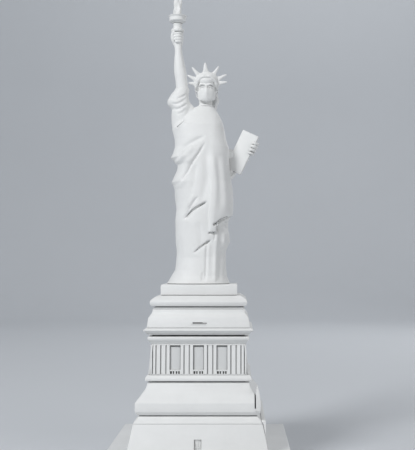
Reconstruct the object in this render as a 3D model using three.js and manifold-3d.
// Miniature landmark model: a draped figure with a raised torch and a tablet, wearing a
// rayed crown and a face mask, on a four-sided pedestal that stands on a square board.
// Every piece is cast or cut by itself. A threaded rod, with a nut and washer under the
// board, pulls the pedestal courses together and screws into an insert in the figure.
// Millimetres, +Z up, the figure faces -Y, the origin is at the middle of the underside.
import * as THREE from "three";
import { mergeVertices } from "three/addons/utils/BufferGeometryUtils.js";
import Module from "manifold-3d";

const wasm = await Module();
wasm.setup();

// ---- driving dimensions ----
const PAD_HEIGHT = 2;
const BOARD_TOP = 14;
const BOARD_HALF = 70;
const GAP = 0.3; // clearance between a piece and the neighbour it is fitted to
const ROD_RADIUS = 2;
const BORE_RADIUS = 2.5;
const ROD_TOP = 152;
const PLINTH_TOP = BOARD_TOP + 125.6; // where the figure stands
const SLEEVE_MOUTH = 296; // the bare arm starts here
const NECK_BASE = 281; // the head casting sits on the robe here
const PIN_RADIUS = 1.2;
const FIGURE_X = -1.6; // the figure's place across the plinth

// ---- colours ----
const WHITE = new THREE.MeshStandardMaterial({ color: 0xe4e6e6, roughness: 0.7, metalness: 0 });
const GREY = new THREE.MeshStandardMaterial({ color: 0xb4b5b6, roughness: 0.75, metalness: 0 });
const STEEL = new THREE.MeshStandardMaterial({ color: 0x9a9c9e, roughness: 0.35, metalness: 1 });
const BRASS = new THREE.MeshStandardMaterial({ color: 0xb9995a, roughness: 0.4, metalness: 1 });
const FELT = new THREE.MeshStandardMaterial({ color: 0x3b3d40, roughness: 0.95, metalness: 0 });

// ---- solids ----
const model = new THREE.Group();
const figure = new THREE.Group(); // the figure stands a little left of the pedestal's middle
figure.position.x = FIGURE_X;
model.add(figure);

// A closed geometry as a solid that can be cut and joined.
function solid(geometry) {
  const bare = geometry.clone();
  bare.deleteAttribute("normal");
  bare.deleteAttribute("uv");
  const merged = mergeVertices(bare, 1e-4);
  return new wasm.Manifold(
    new wasm.Mesh({
      numProp: 3,
      vertProperties: merged.attributes.position.array,
      triVerts: new Uint32Array(merged.index.array),
    }),
  );
}

// A solid back as a geometry.
function geometryOf(made) {
  const mesh = made.getMesh();
  const geometry = new THREE.BufferGeometry();
  geometry.setAttribute("position", new THREE.BufferAttribute(mesh.vertProperties.slice(), 3));
  geometry.setIndex(new THREE.BufferAttribute(mesh.triVerts.slice(), 1));
  const flat = geometry.toNonIndexed();
  flat.computeVertexNormals();
  return flat;
}

function add(name, shape, material, group = model) {
  const geometry = shape.isBufferGeometry ? shape : geometryOf(shape);
  const mesh = new THREE.Mesh(geometry, material);
  mesh.name = name;
  group.add(mesh);
}

function box(x0, x1, y0, y1, z0, z1) {
  const geometry = new THREE.BoxGeometry(x1 - x0, y1 - y0, z1 - z0);
  return geometry.translate((x0 + x1) / 2, (y0 + y1) / 2, (z0 + z1) / 2);
}

// An upright cylinder or ring of revolution; outline is a list of [radius, z] from the axis.
function turned(outline, sides = 24, x = 0, y = 0) {
  const points = outline.map(([r, z]) => new THREE.Vector2(r, z));
  const geometry = new THREE.LatheGeometry(points, sides);
  return geometry.rotateX(Math.PI / 2).translate(x, y, 0);
}

function cylinder(radius, z0, z1, x = 0, y = 0, sides = 24) {
  return turned([[0, z0], [radius, z0], [radius, z1], [0, z1]], sides, x, y);
}

function ring(inner, outer, z0, z1, x = 0, y = 0, sides = 24) {
  return turned([[inner, z0], [outer, z0], [outer, z1], [inner, z1], [inner, z0]], sides, x, y);
}

// A course that is square in plan: outline is a list of [half width, height above the board].
function course(outline) {
  const corner = Math.SQRT2;
  const closed = [[0, outline[0][1]], ...outline, [0, outline.at(-1)[1]]];
  const points = closed.map(([half, z]) => new THREE.Vector2(half * corner, BOARD_TOP + z));
  const geometry = new THREE.LatheGeometry(points, 4, Math.PI / 4);
  return geometry.rotateX(Math.PI / 2);
}

const rodBore = solid(cylinder(BORE_RADIUS, -1, PLINTH_TOP + 1));
const bored = (geometry) => solid(geometry).subtract(rodBore);

// A near-upright limb or body: each station is [z, left, right, front, back] of an oval section.
function body(stations, sides = 28, squareness = 1) {
  const outline = [[0, 0], ...stations.map((_, i) => [1, i]), [0, stations.length - 1]];
  const geometry = new THREE.LatheGeometry(
    outline.map(([r, i]) => new THREE.Vector2(r, i)),
    sides,
  );
  geometry.rotateX(Math.PI / 2);
  const place = geometry.attributes.position;
  for (let i = 0; i < place.count; i++) {
    const [z, left, right, front, back] = stations[Math.round(place.getZ(i))];
    const x = Math.sign(place.getX(i)) * Math.abs(place.getX(i)) ** squareness;
    const y = Math.sign(place.getY(i)) * Math.abs(place.getY(i)) ** squareness;
    place.setXYZ(
      i,
      (left + right) / 2 + (x * (right - left)) / 2,
      (front + back) / 2 + (y * (back - front)) / 2,
      z,
    );
  }
  return geometry;
}

// A limb whose stations are given as [z, centre x, centre y, half width, half depth].
const limb = (stations, sides) =>
  body(
    stations.map(([z, x, y, rx, ry]) => [z, x - rx, x + rx, y - ry, y + ry]),
    sides,
  );

function ellipsoid([x, y, z], [rx, ry, rz], across = 24, up = 16) {
  return new THREE.SphereGeometry(1, across, up)
    .rotateX(Math.PI / 2)
    .scale(rx, ry, rz)
    .translate(x, y, z);
}

// ---- board, pads and the rod that ties the stack ----
function board() {
  const chamfer = 1.2;
  const outline = [
    [BOARD_HALF - chamfer, PAD_HEIGHT - BOARD_TOP],
    [BOARD_HALF, PAD_HEIGHT - BOARD_TOP + chamfer],
    [BOARD_HALF, -chamfer],
    [BOARD_HALF - chamfer, 0],
  ];
  const nutPocket = solid(cylinder(7, PAD_HEIGHT - 1, 8));
  add("base_board", bored(course(outline)).subtract(nutPocket), GREY);
}

function footPads() {
  const inset = 56;
  const corners = [[-1, -1], [1, -1], [1, 1], [-1, 1]];
  corners.forEach(([sx, sy], i) => {
    const pad = cylinder(7, 0, PAD_HEIGHT, sx * inset, sy * inset);
    add(`foot_pad_${i + 1}`, pad, FELT);
  });
}

function tieRod() {
  add("tie_rod", cylinder(ROD_RADIUS, 3, ROD_TOP, 0, 0, 20), STEEL);
  add("rod_washer", ring(ROD_RADIUS + 0.2, 5.5, 7, 8), STEEL);
  const nut = solid(cylinder(4.1, 3.8, 7, 0, 0, 6)).subtract(solid(cylinder(2.2, 3, 8)));
  add("rod_nut", nut, STEEL);
  add("figure_insert", ring(ROD_RADIUS + 0.2, 3.4, PLINTH_TOP + GAP, 151, 0, 0, 20), BRASS);
}

// ---- pedestal courses, from the board up ----
const DOOR_HALF = 2.7;
const DOOR_HEIGHT = 11.4;
const FIN = { inner: 43.1, foot: 31.4, slit: 0.6, front: -46.9, back: -36 };

function gateWall() {
  const foot = 52.8;
  const head = 48.2;
  const top = 22.5;
  const recess = 4.5;
  let wall = bored(course([[foot, 0], [head, top]]));
  const door = solid(
    box(-DOOR_HALF, DOOR_HALF, -foot - 1, -foot + recess, BOARD_TOP - 1, BOARD_TOP + DOOR_HEIGHT),
  );
  for (const turn of [0, 90, 180, 270]) wall = wall.subtract(door.rotate([0, 0, turn]));
  add("gate_wall", wall, WHITE);
  const back = -foot + recess;
  const leaf = box(
    -DOOR_HALF + GAP,
    DOOR_HALF - GAP,
    back - 1.2,
    back - GAP,
    BOARD_TOP,
    BOARD_TOP + DOOR_HEIGHT - GAP,
  );
  ["front", "right", "back", "left"].forEach((side, i) => {
    add(`gate_door_${side}`, solid(leaf).rotate([0, 0, 90 * i]), WHITE);
  });
}

function lowerCourses() {
  add("string_course", bored(course([[48.2, 22.5], [47, 23.8], [44.3, 27.6]])), WHITE);
  const flare = course([[44.3, 27.6], [47, 31.2], [47, 37.6], [39.2, 47.6], [38, 50.6], [38.1, 52.8]]);
  const low = BOARD_TOP + FIN.foot - GAP;
  const seat = box(FIN.inner - FIN.slit, 60, -60, FIN.back + GAP, low, BOARD_TOP + 52);
  add("flared_course", bored(flare).subtract(solid(seat)), WHITE);
  add(
    "loggia_ledge",
    bored(course([[38.6, 52.8], [39.3, 53.6], [40.2, 55.2], [38.9, 56.8], [38.6, 57.6]])),
    WHITE,
  );
}

// The front corner of the flared course's right side is a tab of its own, with a free pointed
// top and an open slit behind it. A slip fills out the batter of the wall below.
function sideSlips() {
  const outlines = {
    side_fin: [
      [FIN.inner, FIN.foot], [47, FIN.foot], [47, 38], [46.3, 44], [44.6, 49.8], [44, 49.8],
      [FIN.inner, 45],
    ],
    side_flap: [[50.6, 12.9], [50.6, 24.3], [47.2, 24.6], [47.6, 23.8], [48.7, 22.5]],
  };
  const ends = { side_fin: [FIN.front, FIN.back], side_flap: [-48.5, 48.5] };
  for (const [name, outline] of Object.entries(outlines)) {
    const shape = new THREE.Shape(outline.map(([x, z]) => new THREE.Vector2(x, z)));
    const [front, back] = ends[name];
    const slip = new THREE.ExtrudeGeometry(shape, { depth: back - front, bevelEnabled: false });
    slip.rotateX(Math.PI / 2).translate(0, back, BOARD_TOP);
    add(name, slip, WHITE);
  }
}

// The open storey: a plain core, and in front of each face a panel sheet behind a screen of
// pilasters. The screen has three openings, each above a low parapet with four small holes.
const LOGGIA_FOOT = 57.6;
const LOGGIA_HEAD = 80.6;
const LOGGIA_FOOT_HALF = 38;
const LOGGIA_HEAD_HALF = 35.7;
const LOGGIA_LEAN = Math.atan2(LOGGIA_FOOT_HALF - LOGGIA_HEAD_HALF, LOGGIA_HEAD - LOGGIA_FOOT);
const SCREEN_DEPTH = 2;
const PANEL_DEPTH = 0.9;
const PANEL_FOOT = 0.8;
const OPENINGS = [-17.7, 0, 17.7];
const OPENING_HALF = 4.1;
const PARAPET_HEIGHT = 3.8;
const HOLE_STEPS = [-3.1, -1.05, 1.05, 3.1];
const HOLE_HALF = 0.45;
const LINTEL_DEPTH = 0.9;
const GROOVES = [6.9, 10.9, 24.5, 28.5, 32.1]; // groove centres, from the middle of a face
const GROOVE_HALF = 0.4;
const GROOVE_DEPTH = 1.1;

// A box that stands on the foot of the front face and leans back with it.
function leaningBox(x0, x1, depth0, depth1, z0, z1) {
  return solid(
    box(x0, x1, depth0, depth1, z0, z1)
      .rotateX(-LOGGIA_LEAN)
      .translate(0, -LOGGIA_FOOT_HALF, BOARD_TOP + LOGGIA_FOOT),
  );
}

function screenFor(side) {
  const lean = Math.tan(LOGGIA_LEAN);
  const height = LOGGIA_HEAD - LOGGIA_FOOT;
  const shell = solid(course([[LOGGIA_FOOT_HALF, LOGGIA_FOOT], [LOGGIA_HEAD_HALF, LOGGIA_HEAD]]))
    .subtract(
      solid(
        course([
          [LOGGIA_FOOT_HALF - SCREEN_DEPTH + lean, LOGGIA_FOOT - 1],
          [LOGGIA_HEAD_HALF - SCREEN_DEPTH - lean, LOGGIA_HEAD + 1],
        ]),
      ),
    );
  const reach = LOGGIA_FOOT_HALF + 2;
  const wedge = new THREE.Shape();
  wedge.moveTo(0, GAP);
  wedge.lineTo(reach, reach + GAP);
  wedge.lineTo(-reach, reach + GAP);
  const quarter = new THREE.ExtrudeGeometry(wedge, { depth: 40, bevelEnabled: false });
  quarter.rotateZ(Math.PI).translate(0, 0, BOARD_TOP + LOGGIA_FOOT - 5);
  let screen = shell.intersect(solid(quarter));
  const head = height - LINTEL_DEPTH;
  for (const middle of OPENINGS) {
    screen = screen.subtract(
      leaningBox(middle - OPENING_HALF, middle + OPENING_HALF, -5, 5, PARAPET_HEIGHT, head),
    );
    for (const x of HOLE_STEPS.map((step) => middle + step)) {
      screen = screen.subtract(
        leaningBox(x - HOLE_HALF, x + HOLE_HALF, -5, 5, PARAPET_HEIGHT - 3, PARAPET_HEIGHT - 1),
      );
    }
  }
  for (const middle of GROOVES.flatMap((g) => [-g, g])) {
    screen = screen.subtract(
      leaningBox(middle - GROOVE_HALF, middle + GROOVE_HALF, -5, GROOVE_DEPTH, -1, head),
    );
  }
  return screen.rotate([0, 0, 90 * side]);
}

function panelFor(side) {
  const half = OPENINGS[2] + OPENING_HALF + 3;
  const front = SCREEN_DEPTH + GAP;
  const panelTop = LOGGIA_HEAD - LOGGIA_FOOT - GAP;
  const panel = leaningBox(-half, half, front, front + PANEL_DEPTH, PANEL_FOOT, panelTop);
  return panel.rotate([0, 0, 90 * side]);
}

function loggia() {
  const inner = SCREEN_DEPTH + PANEL_DEPTH + 3 * GAP;
  const core = course([
    [LOGGIA_FOOT_HALF - inner, LOGGIA_FOOT],
    [LOGGIA_HEAD_HALF - inner, LOGGIA_HEAD],
  ]);
  add("loggia_core", bored(core), WHITE);
  ["front", "right", "back", "left"].forEach((name, side) => {
    add(`loggia_screen_${name}`, screenFor(side), WHITE);
    add(`loggia_panel_${name}`, panelFor(side), WHITE);
  });
}

function upperCourses() {
  add(
    "entablature",
    bored(
      course([
        [35.7, 80.6], [36.4, 82.2], [37.8, 83.8], [38.4, 85.4], [37.8, 86.9], [38.1, 88.6],
      ]),
    ),
    WHITE,
  );
  add("main_cornice", bored(course([[38.1, 88.6], [40.4, 90.2], [41.4, 91.5], [39.2, 93]])), WHITE);
  const attic = bored(
    course([[39.2, 93], [38.7, 95.5], [38.1, 100.4], [37.2, 101.9], [35.3, 104.9], [34.8, 107]]),
  );
  const window = solid(box(-5.8, 5.8, -45, -36.6, BOARD_TOP + 95.4, BOARD_TOP + 96.6));
  add("attic", attic.subtract(window), WHITE);
  add("attic_balcony", box(-5.4, 5.4, -39.9, -37, BOARD_TOP + 95.6, BOARD_TOP + 96.3), WHITE);
  add(
    "upper_cornice",
    bored(
      course([
        [34.2, 107], [34.6, 108.6], [36.2, 110.8], [36.9, 112.4], [36.4, 113.9], [34, 116],
        [31.5, 117.3],
      ]),
    ),
    WHITE,
  );
  add("figure_plinth", bored(course([[29.4, 117.3], [29.4, 124.6], [28.6, 125.6]])), WHITE);
}

// ---- the figure ----
const ARM_X = -13; // where the raised arm leaves its sleeve
const NECK_X = 5.6;
const NECK_Y = 1;

const TABLET = {
  centre: new THREE.Vector3(34.8, 2, 244.8),
  long: new THREE.Vector3(0.435, -0.07, 0.9).normalize(),
  size: [14.2, 3, 33.4],
};

// The tablet's matrix: its width, thickness and length along the local X, Y and Z.
function tabletFrame() {
  const across = new THREE.Vector3(0.9, -0.24, -0.36);
  across.addScaledVector(TABLET.long, -across.dot(TABLET.long)).normalize();
  const through = new THREE.Vector3().crossVectors(TABLET.long, across);
  return new THREE.Matrix4()
    .makeBasis(across, through, TABLET.long)
    .setPosition(TABLET.centre);
}

function tabletBlank(grow) {
  const [width, thick, length] = TABLET.size.map((s) => s / 2 + grow);
  return solid(box(-width, width, -thick, thick, -length, length).applyMatrix4(tabletFrame()));
}

// The forearm lies behind the tablet, from the cloak at the elbow to its outer edge.
function forearmBlank(grow) {
  const path = new THREE.CatmullRomCurve3([
    new THREE.Vector3(21, 9, 229),
    new THREE.Vector3(27, 8.5, 233),
    new THREE.Vector3(33, 8, 239),
    new THREE.Vector3(38.5, 6.5, 245),
  ]);
  const section = new THREE.Shape().absellipse(0, 0, 3.6 + grow, 3.6 + grow, 0, 2 * Math.PI);
  return solid(
    new THREE.ExtrudeGeometry(section, { steps: 6, extrudePath: path, curveSegments: 8 }),
  );
}

function robeBlank() {
  const column = body([
    [PLINTH_TOP, -26.5, 25, -22, 24],
    [144, -24.3, 22, -21, 23],
    [150.4, -20.3, 21, -20, 21.5],
    [158.4, -19.5, 20.6, -19.5, 20],
    [166.4, -18.9, 21.6, -19.5, 19.5],
    [174.4, -19.7, 23.4, -20.5, 19.5],
    [184, -19.6, 23, -22, 19.5],
    [193.6, -19.8, 25.7, -22.5, 19.5],
    [202.4, -19.5, 25, -22, 19.5],
    [214.4, -20.2, 24.6, -21.5, 19.5],
    [221, -22.5, 24.1, -21, 19],
    [232, -18.5, 23, -20, 18.5],
    [240, -22.6, 22.6, -19, 18],
    [248, -20.4, 22.3, -18.5, 17],
    [257.6, -21, 19.9, -17.5, 15.5],
    [265.6, -21.5, 18.9, -15.5, 14],
    [272, -20.5, 16.4, -12.5, 12.5],
    [277, -17, 13.9, -9.5, 11],
    [NECK_BASE, -10, 11, -7, 9],
  ], 24, 0.9);
  const sleeve = limb([
    [262, -9, 0, 9, 9],
    [272, -12, -0.5, 10.6, 9.5],
    [280, -14, -1, 11, 9.5],
    [284, -15.8, -1, 9, 9],
    [288, -15.8, -1, 7.4, 8],
    [292, -14.4, -1, 6.4, 6.8],
    [SLEEVE_MOUTH, ARM_X, -1, 5.8, 6],
  ], 24);
  const leftSleeve = ellipsoid([22.8, 5.4, 238], [7.6, 8, 9.6], 20, 14);
  return solid(column).add(solid(sleeve)).add(solid(leftSleeve));
}

function armPin(grow) {
  return solid(cylinder(PIN_RADIUS + grow, 284 - grow, 306 + grow, ARM_X, -1, 12));
}

function neckPin(grow) {
  return solid(cylinder(PIN_RADIUS + grow, 272 - grow, 290 + grow, NECK_X, NECK_Y, 12));
}

function robe() {
  const insert = solid(cylinder(3.4 + GAP, PLINTH_TOP - 1, ROD_TOP + GAP, -FIGURE_X, 0));
  const shape = robeBlank()
    .subtract(insert)
    .subtract(armPin(GAP))
    .subtract(neckPin(GAP))
    .subtract(tabletBlank(GAP))
    .subtract(forearmBlank(GAP));
  add("robe", shape.decompose().sort((a, b) => b.volume() - a.volume())[0], WHITE, figure);
  add("arm_pin", armPin(0), STEEL, figure);
  add("neck_pin", neckPin(0), STEEL, figure);
}

const TORCH_X = -16.7;
const HAND_TOP = 340;
const HANDLE_FOOT = 332.6;
const HANDLE_TOP = 347.2;
const SPIGOT_RADIUS = 1.5;

function raisedArm() {
  const arm = limb([
    [SLEEVE_MOUTH, ARM_X, -1, 5.2, 5.2],
    [302, -13.8, -1, 4.8, 4.9],
    [310, -14.8, -1, 4.8, 4.8],
    [318.4, -15.6, -1, 3.8, 3.9],
    [326.4, -16, -1, 2.9, 3],
    [331.2, -16.2, -1, 3.5, 3.2],
    [335, -16.5, -1, 4.5, 4.4],
    [338, TORCH_X, -1, 4.8, 5],
    [HAND_TOP, TORCH_X, -1, 4.2, 4.6],
  ], 20);
  const socket = solid(
    cylinder(SPIGOT_RADIUS + GAP, HANDLE_FOOT - GAP, HAND_TOP + 1, TORCH_X, -1, 16),
  );
  add("raised_arm", solid(arm).subtract(armPin(GAP)).subtract(socket), WHITE, figure);
}

function torch() {
  const handle = [
    [0, HANDLE_FOOT], [SPIGOT_RADIUS, HANDLE_FOOT], [SPIGOT_RADIUS, HAND_TOP + GAP],
    [4.4, HAND_TOP + GAP], [4.9, 341.4], [4.6, 342.8], [3.3, 343.6], [3.2, 345.4],
    [4, HANDLE_TOP], [0, HANDLE_TOP],
  ];
  add("torch_handle", turned(handle, 16, TORCH_X, -1), WHITE, figure);
  const gallery = [
    [0, HANDLE_TOP], [4.4, HANDLE_TOP], [6.5, 348.6], [6.5, 351], [7.5, 352.8], [6.7, 353],
    [5.6, 351], [5.4, 349.8], [0, 349.8],
  ];
  add("torch_gallery", turned(gallery, 20, TORCH_X, -1), WHITE, figure);
  const flame = [
    [0, 350], [2.6, 350], [2.9, 355], [3.6, 360], [3.4, 364], [3.2, 368], [2.2, 372],
    [1, 375.6], [0, 376.8],
  ];
  add("torch_flame", turned(flame, 12, TORCH_X, -1), WHITE, figure);
}

function skull(grow) {
  return solid(ellipsoid([6.4, 1.4, 297.6], [9.1 + grow, 9.8 + grow, 9.4 + grow], 20, 12))
    .add(solid(ellipsoid([6.6, -2.4, 291.2], [6.8 + grow, 7 + grow, 7.8 + grow], 20, 12)));
}

// The crown band arches over the hair from ear to ear, and the rays stand on it.
const CROWN = { x: 6.4, front: -3.6, back: 0.2, z: 298.2, inner: 8.6, outer: 10.1, below: 1.5 };
const RAY_TIPS = [
  [-8.2, 299.8], [-8.2, 305.7], [-4.8, 312.3], [5.2, 315.7], [16, 312.7], [22.2, 306.2],
  [22.6, 300.3],
];

function crownBand(grow) {
  const outer = CROWN.outer + grow;
  const inner = CROWN.inner - grow;
  const hoop = ring(inner, outer, CROWN.front - grow, CROWN.back + grow, 0, 0, 32);
  hoop.rotateX(-Math.PI / 2).translate(CROWN.x, 0, CROWN.z);
  const low = CROWN.z - CROWN.below - grow;
  const upperPart = box(CROWN.x - 12, CROWN.x + 12, -20, 20, low, low + 20);
  return solid(hoop).intersect(solid(upperPart));
}

function neck(grow) {
  return solid(limb([
    [NECK_BASE, NECK_X, NECK_Y, 6.4 + grow, 5.8 + grow],
    [284, NECK_X, NECK_Y, 5.2 + grow, 5 + grow],
    [292, 6, 1.2, 5 + grow, 5 + grow],
  ], 20));
}

function head() {
  const bun = solid(ellipsoid([6.4, 11, 296], [4.6, 3.6, 4.2], 16, 10));
  const tress = solid(limb([
    [282.5, 12.5, 6.5, 1.6, 2.2],
    [286, 14, 7, 2.2, 3],
    [294, 12.5, 6.5, 2.4, 3.4],
  ], 12));
  const face = skull(0).add(neck(0)).add(bun).add(tress).subtract(crownBand(GAP));
  add("head", face.subtract(neckPin(GAP)), WHITE, figure);
}

function crown() {
  add("crown_band", crownBand(0), WHITE, figure);
  const middle = (CROWN.front + CROWN.back) / 2;
  RAY_TIPS.forEach(([x, z], i) => {
    const outward = new THREE.Vector2(x - CROWN.x, z - CROWN.z);
    const start = CROWN.outer + GAP;
    const length = outward.length() - start;
    const ray = turned([[0, 0], [1.2, 0], [0.9, length * 0.4], [0.3, length], [0, length]], 8);
    ray.scale(1, 0.7, 1).translate(0, 0, start).rotateY(Math.atan2(outward.x, outward.y));
    add(`crown_ray_${i + 1}`, ray.translate(CROWN.x, middle, CROWN.z), WHITE, figure);
  });
}

function mask() {
  const cloth = solid(ellipsoid([6.7, -3.2, 289.6], [7.7, 7.6, 8.2], 24, 16));
  const span = solid(box(-8, 20, -14, -1.2, 284.2, 293.6));
  const cup = cloth.intersect(span).subtract(skull(GAP)).subtract(neck(GAP));
  add("face_mask", cup, WHITE, figure);
  const section = new THREE.Shape().absellipse(0, 0, 0.35, 0.35, 0, 2 * Math.PI);
  [["left", 1], ["right", -1]].forEach(([name, side]) => {
    const out = (x, y, z) => new THREE.Vector3(6.5 + side * x, y, z);
    const path = new THREE.CatmullRomCurve3([
      out(8.5, -2, 292.6),
      out(9.9, 0.6, 294.4),
      out(9.9, 3.2, 293.4),
      out(9.3, 2.6, 290.6),
      out(7.9, -0.4, 288.2),
    ]);
    const loop = new THREE.ExtrudeGeometry(section, { steps: 10, extrudePath: path, curveSegments: 3 });
    add(`mask_loop_${name}`, loop, WHITE, figure);
  });
}

function tabletAndForearm() {
  add("tablet", tabletBlank(0), WHITE, figure);
  const palm = solid(ellipsoid([39.6, 5.2, 246], [4.4, 3.2, 5], 16, 10));
  const fingers = solid(ellipsoid([43.4, 0.8, 246.2], [3, 3.6, 4.8], 16, 10));
  const arm = forearmBlank(0).add(palm).add(fingers).subtract(tabletBlank(GAP));
  add("left_forearm", arm.decompose().sort((a, b) => b.volume() - a.volume())[0], WHITE, figure);
}

board();
footPads();
tieRod();
gateWall();
lowerCourses();
sideSlips();
loggia();
upperCourses();
robe();
raisedArm();
torch();
head();
crown();
mask();
tabletAndForearm();

export default model;
